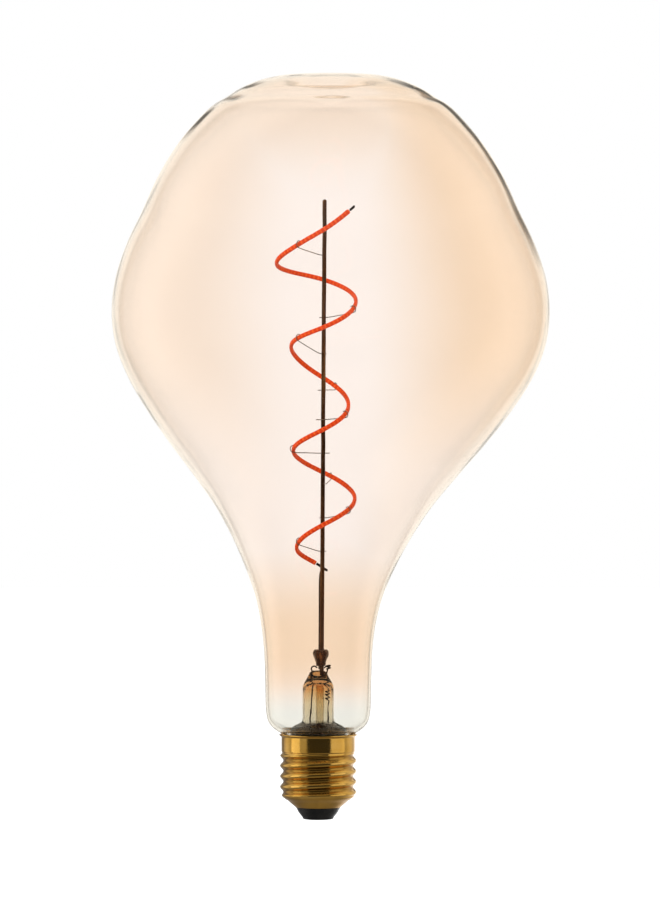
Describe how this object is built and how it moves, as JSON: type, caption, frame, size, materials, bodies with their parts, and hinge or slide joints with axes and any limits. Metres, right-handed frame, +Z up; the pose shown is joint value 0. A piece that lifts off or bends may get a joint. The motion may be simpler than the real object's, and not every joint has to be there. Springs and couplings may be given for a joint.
{
  "type": "smart light bulb",
  "caption": "Large hand-blown amber glass bulb with a spiral LED filament on a central post, a screw cap and a wireless driver inside the cap.",
  "frame": {"origin": "centre of the centre contact's end face, at the bottom of the screw cap", "axes": "+Z up along the cap's axis towards the glass, -Y the front of the bulb, where the filament's first turn passes the post"},
  "size_m": [0.1506, 0.1502, 0.2562],
  "materials": {
    "amber_glass": "gloss",
    "clear_glass": "gloss",
    "brown_glass": "gloss",
    "post_metal": "satin",
    "wire_metal": "satin",
    "hook_wire": "satin",
    "filament_silicone": "satin",
    "cap_brass": "polished",
    "insulator_glass": "gloss",
    "contact_metal": "satin",
    "cement": "matte",
    "board_resin": "satin",
    "capacitor_sleeve": "satin",
    "ferrite": "matte",
    "copper": "satin",
    "chip_plastic": "matte",
    "tinned_metal": "satin",
    "resistor_lacquer": "satin",
    "wire_sleeving": "satin"
  },
  "bodies": {
    "root": {"base_cement": "cement", "bridge_rectifier": "chip_plastic", "bulk_capacitor": "capacitor_sleeve", "cap_insulator": "insulator_glass", "cap_shell": "cap_brass", "centre_contact": "contact_metal", "choke_core": "ferrite", "choke_winding": "copper", "contact_wire": "wire_sleeving", "driver_board": "board_resin", "driver_chip": "chip_plastic", "exhaust_tube": "clear_glass", "filament_hook_1": "hook_wire", "filament_hook_2": "hook_wire", "filament_hook_3": "hook_wire", "filament_hook_4": "hook_wire", "filament_hook_5": "hook_wire", "filament_hook_6": "hook_wire", "filament_hook_7": "hook_wire", "filament_hook_8": "hook_wire", "filament_hook_9": "hook_wire", "filament_strip": "filament_silicone", "filament_tab_bottom": "wire_metal", "filament_tab_top": "wire_metal", "fuse_resistor": "resistor_lacquer", "glass_envelope": "amber_glass", "lead_wire_left": "wire_metal", "lead_wire_right": "wire_metal", "radio_board": "board_resin", "radio_header": "chip_plastic", "radio_shield": "tinned_metal", "return_wire": "wire_metal", "shell_wire": "wire_sleeving", "stem_bead": "brown_glass", "stem_flare": "clear_glass", "support_post": "post_metal", "top_link_wire": "wire_metal"}
  },
  "joints": []
}
